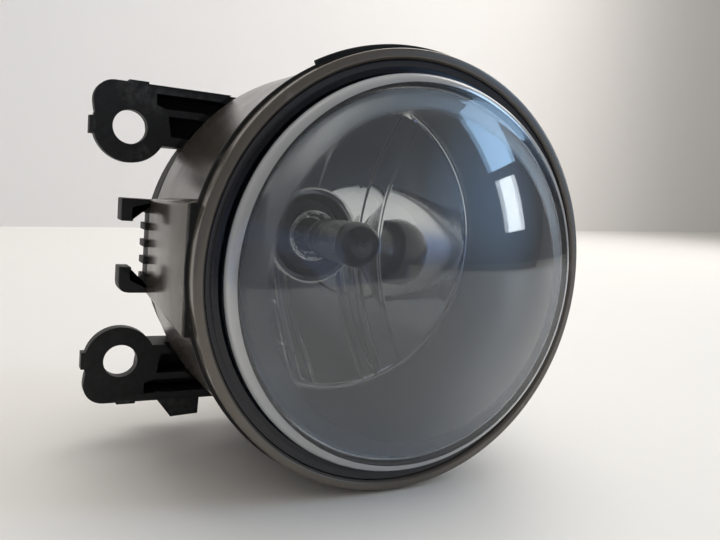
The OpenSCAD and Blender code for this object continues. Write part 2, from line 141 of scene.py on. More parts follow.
def placed(flat, level, axis):
    # outline points in the plane across an axis: along X they are (y, z), along Y (x, z), along Z (x, y)
    level = np.full(len(flat), float(level))
    columns = {"X": (level, flat[:, 0], flat[:, 1]), "Y": (flat[:, 0], level, flat[:, 1]),
               "Z": (flat[:, 0], flat[:, 1], level)}[axis]
    return np.stack(columns, -1)


def edgeRows(outlineAt, level, edge, axis, way):
    # one rounded end edge as four rows, each inset by edge (1 - sin(t)), at level + way edge (1 - cos(t));
    # way is 1 at the start, where t grows, and -1 at the end, where it falls
    return [placed(outlineAt(edge * (1 - sin(t))), level + way * edge * (1 - cos(t)), axis)
            for t in np.linspace(0, pi / 2, 4)[::way]]


def prism(outline, axis, start, end, edge=0.3, corner=0.5, endOutline=None):
    # an outline carried along an axis, with rounded corners and rounded end edges
    first = np.asarray(outline, float) if corner == 0 else softCorners(outline, corner)
    last = first if endOutline is None else softCorners(endOutline, corner)
    rows = edgeRows(lambda inset: insetOutline(first, inset), start, edge, axis, 1)
    rows += edgeRows(lambda inset: insetOutline(last, inset), end, edge, axis, -1)
    return gridPart(np.array(rows), caps=True)


def holedPlate(outline, centre, hole, axis, start, end, edge, corner):
    # a plate with one round hole; every outline point is joined to the hole point in its own direction
    outer = softCorners(outline, corner, 6)
    share = np.linspace(0, 1, 6, endpoint=False)[None, :, None]
    outer = (outer[:, None] + share * (np.roll(outer, -1, 0) - outer)[:, None]).reshape(-1, 2)
    away = outer - centre
    away = away / np.linalg.norm(away, axis=1)[:, None]
    rows = edgeRows(lambda inset: insetOutline(outer, inset), start, edge, axis, 1)
    rows += edgeRows(lambda inset: insetOutline(outer, inset), end, edge, axis, -1)
    rows += edgeRows(lambda inset: centre + away * (hole + inset), end, edge, axis, -1)[::-1]
    rows += edgeRows(lambda inset: centre + away * (hole + inset), start, edge, axis, 1)[::-1]
    return gridPart(np.array(rows), closeRows=True)


def raised(part):
    # a part made round the lamp's axis, moved up to the bulb's axis
    return part[0] + np.array([0, 0, bulbHeight]), part[1]


def rectangle(x0, x1, z0, z1):
    return [(x0, z0), (x1, z0), (x1, z1), (x0, z1)]


doubled, halvesApart = 2e-6, 1e-5  # distances in metres within which doubled points are merged


def addObject(name, data):
    made = bpy.data.objects.new(name, data)
    bpy.context.scene.collection.objects.link(made)
    return made


def putPiece(name, parts, material, body, nodes=(), outward=True, sharp=None):
    # joins the parts into one mesh in metres, merges doubled points at poles and sets the normals outwards
    points = np.vstack([p for p, _ in parts]) / 1000
    starts = np.cumsum([0] + [len(p) for p, _ in parts[:-1]])
    faces = [(face + start).astype(np.int32) for (_, groups), start in zip(parts, starts) for face in groups]
    sizes = np.concatenate([np.full(len(f), f.shape[1], np.int32) for f in faces])
    mesh = bpy.data.meshes.new(name)
    mesh.vertices.add(len(points))
    mesh.vertices.foreach_set("co", points.astype(np.float32).ravel())
    mesh.loops.add(int(sizes.sum()))
    mesh.loops.foreach_set("vertex_index", np.concatenate([f.ravel() for f in faces]))
    mesh.polygons.add(len(sizes))
    mesh.polygons.foreach_set("loop_start", np.concatenate([[0], np.cumsum(sizes)[:-1]]).astype(np.int32))
    mesh.update(calc_edges=True)
    mesh.validate()
    work = bmesh.new()
    work.from_mesh(mesh)
    bmesh.ops.remove_doubles(work, verts=work.verts, dist=doubled)
    if outward:
        bmesh.ops.recalc_face_normals(work, faces=work.faces)
    work.to_mesh(mesh)
    work.free()
    mesh.polygons.foreach_set("use_smooth", np.ones(len(mesh.polygons), bool))
    if sharp:
        mesh.set_sharp_from_angle(angle=radians(sharp))
    piece = addObject(name, mesh)
    mesh.materials.append(material)
    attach(piece, body)
    if nodes:
        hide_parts(*nodes)
    return piece


bevelledFrom = 32  # edges sharper than this many degrees get rounded


def softened(node, material, body, slot, width):
    # a merged copy of a CAD node whose edges are rounded, which then stands for the node; its name is the
    # node's in camel case
    first, *rest = node.split("_")
    name = first + "".join(word.capitalize() for word in rest)
    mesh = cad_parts[node].data.copy()
    work = bmesh.new()
    work.from_mesh(mesh)
    bmesh.ops.remove_doubles(work, verts=work.verts, dist=doubled)
    bmesh.ops.dissolve_limit(work, angle_limit=radians(0.5), verts=work.verts, edges=work.edges)
    work.to_mesh(mesh)
    work.free()
    mesh.name = name
    mesh.materials.clear()
    mesh.materials.append(material)
    mesh.polygons.foreach_set("use_smooth", np.ones(len(mesh.polygons), bool))
    piece = addObject(name, mesh)
    bevel = piece.modifiers.new("edges", "BEVEL")
    bevel.width = width / 1000
    bevel.segments = 2
    bevel.limit_method = "ANGLE"
    bevel.angle_limit = radians(bevelledFrom)
    bevel.harden_normals = False
    weighted = piece.modifiers.new("shading", "WEIGHTED_NORMAL")
    weighted.keep_sharp = True
    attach(piece, body)
    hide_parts(node)


# --- shader building blocks ---
def feed(tree, socket, value):
    # an input takes a link from a socket, or a plain value
    if isinstance(value, bpy.types.NodeSocket):
        tree.links.new(value, socket)
    else:
        socket.default_value = value


def add(tree, kind, inputs=None, **settings):
    # one node: its settings, then its inputs
    node = tree.nodes.new("ShaderNode" + kind)
    for key, value in settings.items():
        setattr(node, key, value)
    for key, value in (inputs or {}).items():
        feed(tree, node.inputs[key], value)
    return node


def mixColors(tree, factor, first, second, blend="MIX"):
    # inputs 0, 6 and 7 and output 2 are the ones that a colour mix uses
    inputs = {0: factor, 6: first, 7: second}
    return add(tree, "Mix", inputs, data_type="RGBA", blend_type=blend).outputs[2]


def objectAxes(tree):
    # the object coordinates as sockets X, Y and Z, in metres
    return add(tree, "SeparateXYZ", {"Vector": add(tree, "TexCoord").outputs["Object"]}).outputs


def shaded(tree, base, share):
    # a colour multiplied by a grey of the given share
    grey = add(tree, "CombineColor", {"Red": share, "Green": share, "Blue": share}).outputs[0]
    return mixColors(tree, 1.0, base, grey, "MULTIPLY")


def mapped(tree, value, low, high, toLow=0.0, toHigh=1.0):
    return add(tree, "MapRange", {"Value": value, "From Min": low, "From Max": high,
                                  "To Min": toLow, "To Max": toHigh}).outputs[0]


def combine(tree, operation, first, second):
    return add(tree, "Math", {0: first, 1: second}, operation=operation).outputs[0]


def noise(tree, place, scale, detail, roughness=0.5, distortion=0.0):
    return add(tree, "TexNoise", {"Vector": place, "Scale": scale, "Detail": detail, "Roughness": roughness,
                                  "Distortion": distortion}).outputs[0]


def newGroup(name, inputs, outputs):
    tree = bpy.data.node_groups.new(name, "ShaderNodeTree")
    for label, value in inputs.items():
        kind = "NodeSocketColor" if isinstance(value, tuple) else "NodeSocketFloat"
        tree.interface.new_socket(label, in_out="INPUT", socket_type=kind).default_value = value
    for label in outputs:
        tree.interface.new_socket(label, in_out="OUTPUT", socket_type="NodeSocketFloat")
    return tree, tree.nodes.new("NodeGroupInput").outputs, tree.nodes.new("NodeGroupOutput").inputs


def makeGrainGroup():
    # fine moulded texture: two noises, one about eight times finer than the other
    tree, given, result = newGroup("mouldGrain", {"Scale": 2500.0, "Balance": 0.5}, ["Height"])
    place = add(tree, "TexCoord").outputs["Object"]
    fine = noise(tree, place, given["Scale"], 3.0, 0.65)
    broad = noise(tree, place, combine(tree, "MULTIPLY", given["Scale"], 0.12), 2.0)
    fineShare = combine(tree, "MULTIPLY", fine, given["Balance"])
    tree.links.new(combine(tree, "ADD", fineShare, broad), result["Height"])
    return tree


def makeCloudGroup():
    # soft patches, as of an uneven film or of hand marks
    tree, given, result = newGroup("filmClouds", {"Scale": 60.0, "Low": 0.35, "High": 0.7, "Stretch": 0.3},
                                   ["Mask"])
    place = add(tree, "TexCoord").outputs["Object"]
    bent = noise(tree, place, given["Scale"], 5.0, 0.6, given["Stretch"])
    tree.links.new(mapped(tree, bent, given["Low"], given["High"]), result["Mask"])
    return tree


def makeRubGroup():
    # worn edges: where the surface is convex, broken up by a noise
    tree, given, result = newGroup("rubbedEdges", {"From": 0.53, "To": 0.62, "Scale": 500.0}, ["Mask"])
    place = add(tree, "TexCoord").outputs["Object"]
    edge = mapped(tree, add(tree, "NewGeometry").outputs["Pointiness"], given["From"], given["To"])
    broken = mapped(tree, noise(tree, place, given["Scale"], 4.0), 0.35, 0.65)
    tree.links.new(combine(tree, "MULTIPLY", edge, broken), result["Mask"])
    return tree


def makeDustGroup():
    # dust lies where the surface looks up, in small specks and in a thin haze
    tree, given, result = newGroup("settledDust", {"Amount": 0.5, "Scale": 900.0}, ["Mask"])
    place = add(tree, "TexCoord").outputs["Object"]
    up = add(tree, "SeparateXYZ", {"Vector": add(tree, "NewGeometry").outputs["Normal"]}).outputs["Z"]
    facing = mapped(tree, up, -0.3, 1.0, 0.15, 1.0)
    specks = mapped(tree, noise(tree, place, given["Scale"], 6.0, 0.75), 0.52, 0.75)
    haze = mapped(tree, noise(tree, place, 45.0, 3.0), 0.4, 0.8, 0.0, 0.5)
    lying = combine(tree, "MULTIPLY", combine(tree, "MAXIMUM", specks, haze), facing)
    tree.links.new(combine(tree, "MULTIPLY", lying, given["Amount"]), result["Mask"])
    return tree


def makeTurningGroup():
    # lines left by turning or drawing, round the lamp's axis
    tree, given, result = newGroup("turningLines", {"Pitch": 3000.0, "Height": 0.0044}, ["Height"])
    place = objectAxes(tree)
    z = combine(tree, "SUBTRACT", place["Z"], given["Height"])
    squares = combine(tree, "ADD", combine(tree, "POWER", place["X"], 2.0), combine(tree, "POWER", z, 2.0))
    along = add(tree, "CombineXYZ", {"X": combine(tree, "SQRT", squares, 0.0), "Y": place["Y"], "Z": 0.0})
    tree.links.new(noise(tree, along.outputs[0], given["Pitch"], 2.0), result["Height"])
    return tree


groups = {"grain": makeGrainGroup(), "clouds": makeCloudGroup(), "rub": makeRubGroup(),
          "dust": makeDustGroup(), "turning": makeTurningGroup()}


def use(tree, group, **values):
    node = tree.nodes.new("ShaderNodeGroup")
    node.node_tree = groups[group]
    for label, value in values.items():
        node.inputs[label].default_value = value
    return node.outputs[0]


def newMaterial(name, **constants):
    # a material with its Principled shader, whose constant inputs are set on the sockets
    material = bpy.data.materials.new(name)
    material.use_nodes = True
    tree = material.node_tree
    shader = tree.nodes["Principled BSDF"]
    for label, value in constants.items():
        shader.inputs[label.replace("_", " ")].default_value = value
    return material, tree, shader


def bumped(tree, shader, height, strength, distance):
    bump = add(tree, "Bump", {"Height": height, "Strength": strength, "Distance": distance})
    tree.links.new(bump.outputs[0], shader.inputs["Normal"])


def roughened(tree, shader, mask, look, dust, dustShare):
    # the look's range of roughness over a mask, and more of it under dust
    rough = mapped(tree, mask, 0.0, 1.0, *look["roughness"])
    rough = combine(tree, "ADD", rough, combine(tree, "MULTIPLY", dust, dustShare))
    tree.links.new(rough, shader.inputs["Roughness"])


def rgb(r, g, b):
    return (r, g, b, 1.0)


def mouldedPlastic(name, look):
    # moulded plastic or rubber: base colour with clouds, rubbed edges, dust, and fine grain in the surface
    material, tree, shader = newMaterial(name, Specular_IOR_Level=look["specular"])
    clouds = use(tree, "clouds", Scale=70.0, Low=0.3, High=0.75)
    base = mixColors(tree, clouds, look["color"], look["cloudColor"])
    rubbed = use(tree, "rub", Scale=600.0)
    base = mixColors(tree, combine(tree, "MULTIPLY", rubbed, look.get("rub", 0.6)), base, look["rubColor"])
    dust = use(tree, "dust", Amount=look["dust"])
    base = mixColors(tree, dust, base, rgb(0.32, 0.30, 0.27))
    tree.links.new(base, shader.inputs["Base Color"])
    roughened(tree, shader, clouds, look, dust, 0.3)
    grain = use(tree, "grain", Scale=look.get("grainScale", 2600.0))
    bumped(tree, shader, grain, look.get("grain", 0.25), 0.00008)
    return material


def metalPart(name, look):
    # plated or turned metal: turning lines, stains and a little dust
    material, tree, shader = newMaterial(name, Metallic=1.0)
    clouds = use(tree, "clouds", Scale=260.0, Low=0.4, High=0.7)
    base = mixColors(tree, clouds, look["color"], look["stainColor"])
    dust = use(tree, "dust", Amount=look.get("dust", 0.2))
    tree.links.new(mixColors(tree, dust, base, rgb(0.25, 0.22, 0.18)), shader.inputs["Base Color"])
    tree.links.new(mapped(tree, clouds, 0.0, 1.0, *look["roughness"]), shader.inputs["Roughness"])
    lines = use(tree, "turning", Pitch=3500.0, Height=look.get("height", 0.0))
    bumped(tree, shader, lines, 0.25, 0.00003)
    return material


def smokyFilm(name, look):
    # a thin aluminised film over moulded plastic: metal where it is thick, smoky plastic where it is thin
    material, tree, shader = newMaterial(name, Specular_IOR_Level=0.35)
    film = use(tree, "clouds", Scale=look["filmScale"], Low=0.25, High=0.75, Stretch=0.3)
    streaks = use(tree, "clouds", Scale=look["filmScale"] * 4, Low=0.3, High=0.8, Stretch=0.3)
    thick = combine(tree, "MULTIPLY", mapped(tree, film, 0.0, 1.0, 0.6, 1.0),
                    mapped(tree, streaks, 0.0, 1.0, 1.0, 0.8))
    base = mixColors(tree, thick, look["thin"], look["thick"])
    axis, start, end, level = look["fade"]  # the base colour changes by the factor level along one axis
    base = shaded(tree, base, mapped(tree, objectAxes(tree)[axis], start, end, 1.0, level))
    rubbed = use(tree, "rub", Scale=400.0)
    base = mixColors(tree, combine(tree, "MULTIPLY", rubbed, look["rub"]), base, look["rubColor"])
    dust = use(tree, "dust", Amount=look["dust"], Scale=700.0)
    base = mixColors(tree, dust, base, rgb(0.36, 0.33, 0.29))
    tree.links.new(base, shader.inputs["Base Color"])
    bare = combine(tree, "SUBTRACT", 1.0, dust)
    metal = combine(tree, "MULTIPLY", mapped(tree, thick, 0.3, 0.9, look["metal"] * 0.7, look["metal"]), bare)
    tree.links.new(metal, shader.inputs["Metallic"])
    roughened(tree, shader, streaks, look, dust, 0.35)
    if look["wave"]:
        grain = use(tree, "grain", Scale=500.0, Balance=0.2)
        bumped(tree, shader, grain, look["wave"], 0.0002)
    return material


paintedLightSpan = (-0.045, 0.043)  # the heights between which the shoulder's colour is painted lighter, as painted light from above


def clearGlass(name, look):
    # clear glass with a breath of dust and fine scratches; rays towards lamps pass straight through
    material, tree, shader = newMaterial(name, Transmission_Weight=look["clear"], IOR=look.get("bend", 1.51))
    haze = use(tree, "clouds", Scale=look["hazeScale"], Low=0.35, High=0.8, Stretch=0.6)
    base = mixColors(tree, haze, look["color"], look["hazeColor"])
    scratches = use(tree, "grain", Scale=900.0)
    rough = combine(tree, "MULTIPLY", haze, mapped(tree, scratches, 0.5, 1.0, 0.3, 1.0))
    rough = mapped(tree, rough, 0.0, 1.0, *look["roughness"])
    if "skirtColor" in look:  # a black band on the skirt, and a frosted ring on the shoulder
        place = objectAxes(tree)
        skirt = mapped(tree, place["Y"], *look["skirt"])
        ring = mapped(tree, place["Y"], *look["ring"])
        # painted light and shade: the ring's base colour is darker at its front edge and towards the bottom,
        # lighter towards its top
        paintedFrontShade = mapped(tree, place["Y"], *look["ring"], look["inner"], 1.0)
        height = mapped(tree, place["Z"], *paintedLightSpan, look["lowPaintedShade"], 1.0)
        base = shaded(tree, base, combine(tree, "MULTIPLY", paintedFrontShade, height))
        base = mixColors(tree, skirt, base, look["skirtColor"])
        frosted = combine(tree, "MULTIPLY", combine(tree, "SUBTRACT", ring, skirt), look["frost"])
        rough = combine(tree, "MAXIMUM", rough, frosted)
    tree.links.new(base, shader.inputs["Base Color"])
    tree.links.new(rough, shader.inputs["Roughness"])
    wave = use(tree, "clouds", Scale=look["waveScale"], Low=0.0, High=1.0)
    bumped(tree, shader, wave, look["wave"], 0.0004)
    through = add(tree, "BsdfTransparent", {"Color": look["through"]})
    path = add(tree, "LightPath")
    mix = add(tree, "MixShader")
    tree.links.new(path.outputs["Is Shadow Ray"], mix.inputs[0])
    tree.links.new(shader.outputs[0], mix.inputs[1])
    tree.links.new(through.outputs[0], mix.inputs[2])
    tree.links.new(mix.outputs[0], tree.nodes["Material Output"].inputs["Surface"])
    return material


blackLook = {
    "color": rgb(0.011, 0.011, 0.011), "cloudColor": rgb(0.017, 0.017, 0.017), "specular": 0.25,
    "rubColor": rgb(0.07, 0.07, 0.07), "roughness": (0.45, 0.6), "dust": 0.06, "grain": 0.35}
blackPlastic = mouldedPlastic("blackPlastic", blackLook)
holderPlastic = mouldedPlastic("holderPlastic", {
    **blackLook, "color": rgb(0.03, 0.03, 0.031), "grain": 0.2})
basePlastic = mouldedPlastic("basePlastic", {
    **blackLook, "color": rgb(0.045, 0.045, 0.05), "cloudColor": rgb(0.06, 0.06, 0.065),
    "roughness": (0.3, 0.42)})
gasketRubber = mouldedPlastic("gasketRubber", {
    **blackLook, "roughness": (0.5, 0.62), "specular": 0.12, "grainScale": 1500.0, "dust": 0.07})
adhesiveBlack = mouldedPlastic("adhesiveBlack", {
    **blackLook, "color": rgb(0.008, 0.008, 0.010), "cloudColor": rgb(0.012, 0.012, 0.016), "rub": 0.1,
    "roughness": (0.16, 0.3), "dust": 0.08, "grain": 0.1, "grainScale": 500.0, "specular": 0.5})
naturalNylon = mouldedPlastic("naturalNylon", {
    **blackLook, "color": rgb(0.72, 0.70, 0.62), "cloudColor": rgb(0.62, 0.60, 0.52),
    "rubColor": rgb(0.8, 0.78, 0.7), "roughness": (0.35, 0.5)})
sealSilicone = mouldedPlastic("sealSilicone", {
    **blackLook, "color": rgb(0.30, 0.07, 0.025), "cloudColor": rgb(0.24, 0.05, 0.02),
    "rubColor": rgb(0.4, 0.12, 0.05), "roughness": (0.35, 0.5)})
ventFabric = mouldedPlastic("ventFabric", {
    **blackLook, "color": rgb(0.72, 0.72, 0.68), "cloudColor": rgb(0.6, 0.6, 0.56),
    "rubColor": rgb(0.7, 0.7, 0.66), "roughness": (0.7, 0.85), "grainScale": 6000.0, "grain": 0.6})
tipCoating = mouldedPlastic("tipCoating", {
    **blackLook, "color": rgb(0.010, 0.010, 0.014), "rub": 0.1, "cloudColor": rgb(0.018, 0.018, 0.026),
    "roughness": (0.10, 0.22), "dust": 0.04, "grain": 0.12, "specular": 0.6})
zincSteel = metalPart("zincSteel", {
    "color": rgb(0.55, 0.55, 0.53), "stainColor": rgb(0.42, 0.40, 0.34), "roughness": (0.25, 0.42)})
collarSteel = metalPart("collarSteel", {
    "color": rgb(0.78, 0.77, 0.73), "stainColor": rgb(0.62, 0.60, 0.52), "roughness": (0.22, 0.4),
    "height": bulbHeight / 1000, "dust": 0.05})
tungstenWire = metalPart("tungstenWire", {
    "color": rgb(0.30, 0.30, 0.31), "stainColor": rgb(0.22, 0.2, 0.2), "roughness": (0.3, 0.45),
    "dust": 0.0})
tinnedBrass = metalPart("tinnedBrass", {
    "color": rgb(0.66, 0.62, 0.50), "stainColor": rgb(0.55, 0.46, 0.30), "roughness": (0.2, 0.35),
    "dust": 0.05})
smokyShell = smokyFilm("smokyShell", {
    "thin": rgb(0.040, 0.034, 0.028), "thick": rgb(0.115, 0.102, 0.088), "rubColor": rgb(0.26, 0.25, 0.23),
    "rub": 0.35, "filmScale": 26.0, "dust": 0.12, "metal": 0.5, "roughness": (0.17, 0.28), "wave": 0.08,
    "fade": ("Y", 0.0042, 0.0036, 1.5)})
# painted shade: the bezel's base colour falls to 0.62 of itself towards its top
satinBezel = smokyFilm("satinBezel", {
    "thin": rgb(0.20, 0.21, 0.225), "thick": rgb(0.27, 0.28, 0.30), "rubColor": rgb(0.40, 0.41, 0.42),
    "rub": 0.15, "filmScale": 22.0, "dust": 0.03, "metal": 0.75, "roughness": (0.36, 0.44), "wave": 0.0,
    "fade": ("Z", -0.02, 0.038, 0.62)})
pressedLook = {"waveScale": 30.0, "wave": 0.02, "skirtColor": rgb(0.006, 0.007, 0.012)}
lensGlass = clearGlass("lensGlass", {
    **pressedLook, "color": rgb(0.94, 0.965, 0.98), "hazeColor": rgb(0.885, 0.92, 0.95), "clear": 0.96,
    "hazeScale": 35.0, "roughness": (0.015, 0.07), "through": rgb(0.86, 0.90, 0.94),
    "skirt": (-0.0016, -0.0010), "ring": (-0.0044, -0.0034), "inner": 1.0, "frost": 0.45, "lowPaintedShade": 1.0})
# the shoulder's glass is half pale white and half clear: a frosted finish that is partly painted reflection
# of the bright room
shoulderGlass = clearGlass("shoulderGlass", {
    **pressedLook, "color": rgb(0.93, 0.95, 0.97), "hazeColor": rgb(0.85, 0.88, 0.92), "clear": 0.5,
    "bend": 2.4, "hazeScale": 60.0, "roughness": (0.12, 0.2), "through": rgb(0.5, 0.5, 0.5),
    "skirt": (-0.0020, -0.0011), "ring": (-0.0039, -0.0028), "inner": 0.7, "frost": 0.18, "lowPaintedShade": 0.92})
capsuleGlass = clearGlass("capsuleGlass", {
    "color": rgb(0.96, 0.96, 0.94), "hazeColor": rgb(0.93, 0.93, 0.90), "clear": 1.0, "hazeScale": 200.0,
    "roughness": (0.0, 0.02), "waveScale": 420.0, "wave": 0.35, "through": rgb(0.92, 0.92, 0.92)})


def mirrorFilm(name):
    # vacuum aluminised mirror: a slight orange peel, soft stains, and painted shade towards the upper left
    material, tree, shader = newMaterial(name, Metallic=1.0)
    stains = use(tree, "clouds", Scale=90.0, Low=0.45, High=0.8, Stretch=0.6)
    base = mixColors(tree, stains, rgb(0.92, 0.91, 0.87), rgb(0.80, 0.79, 0.77))
    place = objectAxes(tree)  # painted shade: the mirror's colour is darkened towards the upper left
    paintedShadeSlant = combine(tree, "SUBTRACT", place["Z"], combine(tree, "MULTIPLY", place["X"], 0.9))
    base = mixColors(tree, mapped(tree, paintedShadeSlant, 0.026, 0.046), base, rgb(0.62, 0.61, 0.61))
    tree.links.new(base, shader.inputs["Base Color"])
    tree.links.new(mapped(tree, stains, 0.0, 1.0, 0.02, 0.06), shader.inputs["Roughness"])
    peel = use(tree, "grain", Scale=260.0, Balance=0.1)
    bumped(tree, shader, peel, 0.12, 0.0003)
    return material


mirrorSurface = mirrorFilm("mirrorSurface")
print("materials made:", len(bpy.data.materials))

# --- lens ---
roundSteps = 256  # points round each large turned piece
lensLook = {"shoulderDepth": -3.3, "shoulderRadius": 43.15, "domeEdge": 41.5, "glass": 2.4,
            "skirtBack": 2.0, "skirtIn": 40.9, "frostFrom": 40.6, "frostTo": -0.9,
            "roundFrom": 2.6, "insideRound": 1.6}


def makeLens(look):
    # a spherical cap, a rounded shoulder and a skirt, then the same inside, turned round the axis
    radius, apex = lensHigh[0], lensLow[1]
    height = look["shoulderDepth"] - apex
    sphere = (look["domeEdge"] ** 2 + height**2) / (2 * height)
    centre = apex + sphere

    def cap(size, edge, steps=44):
        angle = np.linspace(0, np.arcsin(edge / size), steps)
        return np.column_stack([size * np.sin(angle), centre - size * np.cos(angle)])

    back, skirtIn = look["skirtBack"], look["skirtIn"]
    outside = cap(sphere, look["domeEdge"] - look["roundFrom"])
    edge = [outside[-1], (look["shoulderRadius"], look["shoulderDepth"]), (radius, back), (skirtIn, back)]
    edge = softCorners(edge, [1, 2.8, 0.3, 0.3], 12, closed=False)
    inside = cap(sphere - look["glass"], skirtIn - look["insideRound"])[::-1]
    inner = softCorners([edge[-1], (skirtIn, 0.2), inside[0]], [0.3, 1.6, 1], 8, closed=False)
    profile = np.vstack([outside, edge[1:], inner[1:], inside[1:]])
    glass = [turned(profile, roundSteps, loop=False)]
    piece = putPiece("lensGlass", glass, lensGlass, "lamp", ["lens"])
    piece.data.materials.append(shoulderGlass)
    centres = np.empty(len(piece.data.polygons) * 3, np.float32)
    piece.data.polygons.foreach_get("center", centres)
    centres = centres.reshape(-1, 3) * 1000
    # faces on the shoulder take the pale frosted glass, which is partly painted reflection
    outer = np.hypot(centres[:, 0], centres[:, 2]) > look["frostFrom"]
    frosted = outer & (centres[:, 1] < look["frostTo"]) & (centres[:, 1] < centres[:, 1].max() - 1)
    piece.data.polygons.foreach_set("material_index", frosted.astype(np.int32))


makeLens(lensLook)

# --- flange, drum and neck of the housing, in one turned skin ---
housingLook = {"flange": 48.5, "flangeDepth": 4.0, "groove": 46.3, "grooveDepth": 2.8, "shelf": 40.6,
               "drum": 47.8, "drumDepth": 43.0, "wall": 2.2, "rear": 59.5, "neck": 17.5, "bore": 15.3,
               "neckBack": 66.29, "slopeOut": 27.0, "flatOut": 23.0,
               "slopeDepth": 4.5, "shelfWall": 0.4}


def makeHousing(look):
    # corners as radius, depth, centre height and corner radius: the inside going back, then the outside
    groove, shelf, drum, flange = pick(look, "groove shelf drum flange")
    grooveBack, flangeBack, drumBack, rear = pick(look, "grooveDepth flangeDepth drumDepth rear")
    slope, flat, neck, bore, neckBack = pick(look, "slopeOut flatOut neck bore neckBack")
    drumIn, rearIn, sloped, lift = drum - look["wall"], rear - look["wall"], look["slopeDepth"], bulbHeight
    back = flangeBack + look["shelfWall"]
    corners = np.array([
        (groove, 0.55, 0, 0.3), (groove, grooveBack, 0, 0.1), (shelf, grooveBack, 0, 0.1),
        (shelf, back, 0, 0.1), (drumIn, back, 0, 0.3), (drumIn, drumBack + 3.4, 0, 4.0),
        (drumIn - 5, drumBack + 3.8, 0, 1.0), (slope, rearIn - sloped, 0, 1.0), (flat, rearIn, 0, 0.8),
        (bore, rearIn, lift, 0.2), (bore, neckBack, lift, 0.3), (neck, neckBack, lift, 0.3),
        (neck, rear, lift, 0.8), (flat, rear, 0, 1.0), (slope, rear - sloped, 0, 1.0),
        (drum - 5.5, drumBack + 4.4, 0, 1.0), (drum, drumBack + 4, 0, 4.5), (drum, flangeBack, 0, 0.15),
        (flange, flangeBack, 0, 0.5), (flange, 0, 0, 0.7), (groove + 0.45, 0, 0, 0.4)])
    return turned(softCorners(corners[:, :3], corners[:, 3], 6), roundSteps)


boxLook = {"front": [(-48.8, 13), (-48.8, -13.2), (-36.8, -22), (-32.8, -22), (-32.8, 16), (-36.8, 16)],
           "back": [(-48.8, 12.1), (-48.8, -10.3), (-36.8, -20), (-32.8, -20), (-32.8, 14), (-36.8, 14)],
           "start": 5.5, "end": 41.4}
rearLook = {"screwAngles": (30, 150, 250), "screwCircle": 22.5, "pad": 5.4, "padFrom": 55.3,
            "vent": (-21, -11), "ventFrom": 53.5, "bossX": 19.5, "boss": 3.0, "bossFrom": 57.6,
            "pivotX": (32.7, 36.7), "pivotY": 57.6, "pivotBox": (49.4, 62.6, -5, 5), "bush": 3.5,
            "nutX": (3.6, 6.5), "nutY": 58.8, "nutZ": 36.0, "nutR": 4.5,
            "nutBox": (48.6, 65.3, 29.5, 42.5), "linkHalf": 4.0}


def makeSideBox(look):
    return prism(look["front"], "Y", look["start"], look["end"], 0.6, 0.9, look["back"])


def makeRearFeatures(look, rear, neckBack):
    # pads under the screws and the vent, bosses beside the neck, the two pivot lugs and the nut lug
    circle = np.linspace(0, 2 * pi, 48, endpoint=False)
    ring = np.column_stack([np.cos(circle), np.sin(circle)])
    turns = np.radians(look["screwAngles"])
    pads = [(look["screwCircle"] * cos(a), bulbHeight + look["screwCircle"] * sin(a)) for a in turns]
    parts = [prism(centre + look["pad"] * ring, "Y", look["padFrom"], rear, 0.4, 0.0) for centre in pads]
    parts.append(prism(look["vent"] + look["pad"] * ring, "Y", look["ventFrom"], rear, 0.4, 0.0))
    for side in (-1, 1):
        centre = (side * look["bossX"], bulbHeight)
        parts.append(prism(centre + look["boss"] * ring, "Y", look["bossFrom"], neckBack, 0.3, 0.0))
        start, end = sorted(side * x for x in look["pivotX"])
        lug = rectangle(*look["pivotBox"])
        parts.append(holedPlate(lug, (look["pivotY"], 0), look["bush"], "X", start, end, 0.4, 1.6))
    front, back, low, high = look["nutBox"]
    near, far = look["nutX"]
    lug, centre = rectangle(front, back, low, high), (look["nutY"], look["nutZ"])
    for start, end in ((-far, -near), (near, far)):
        parts.append(holedPlate(lug, centre, look["nutR"], "X", start, end, 0.4, 2.0))
    half = look["linkHalf"]
    parts.append(prism(rectangle(front, front + 4, low, high), "X", -half, half, 0.2, 0.3))
    for start, end in ((low, low + 1.7), (high - 1.7, high)):
        parts.append(prism(rectangle(front + 3.4, back - 0.8, start, end), "X", -half, half, 0.2, 0.3))
    return parts


housingParts = [makeHousing(housingLook), makeSideBox(boxLook)]
housingParts += makeRearFeatures(rearLook, housingLook["rear"], housingLook["neckBack"])
putPiece("housingShell", housingParts, smokyShell, "lamp", ["housing"], sharp=50)

hookLook = {"front": 41.2, "back": 47.0, "x": -48.8, "reach": 6.3, "stem": 2.8, "root": 2.0, "top": 12.0,
            "low": -10.3, "upperHook": (5.3, 2.2), "lowerHook": (3.2, 6.2), "ribs": 5, "ribFrom": 2.9,
            "ribPitch": 4.05, "rib": 1.7}


def makeRailHooks(look):
    # two hooks in L form, the wall between them and the ribs on that wall
    x, top, low, front, back = pick(look, "x top low front back")
    root, end, stem = x + look["root"], x - look["reach"], x - look["reach"] + look["stem"]
    tall, thick = look["upperHook"]
    upper = [(root, top), (end, top), (end, top - tall), (stem, top - tall), (stem, top - thick),
             (root, top - thick)]
    thick, tall = look["lowerHook"]
    lower = [(root, low), (root, low + thick), (stem, low + thick), (stem, low + tall), (end, low + tall),
             (end, low)]
    parts = [prism(upper, "Y", front, back, 0.35, 0.35),
             prism(lower, "Y", front, back, 0.35, [0.3, 0.3, 0.3, 0.3, 0.3, 2.4]),
             prism(rectangle(x + 0.05, x + 3.4, low + 0.1, top - 0.1), "Y", front, back - 0.1, 0.3, 0.3)]
    for i in range(look["ribs"]):
        z = low + look["ribFrom"] + look["ribPitch"] * i
        rib = rectangle(x - 0.9, x + 0.5, z, z + look["rib"])
        parts.append(prism(rib, "Y", front, back - 0.2, 0.25, 0.25))
    return parts


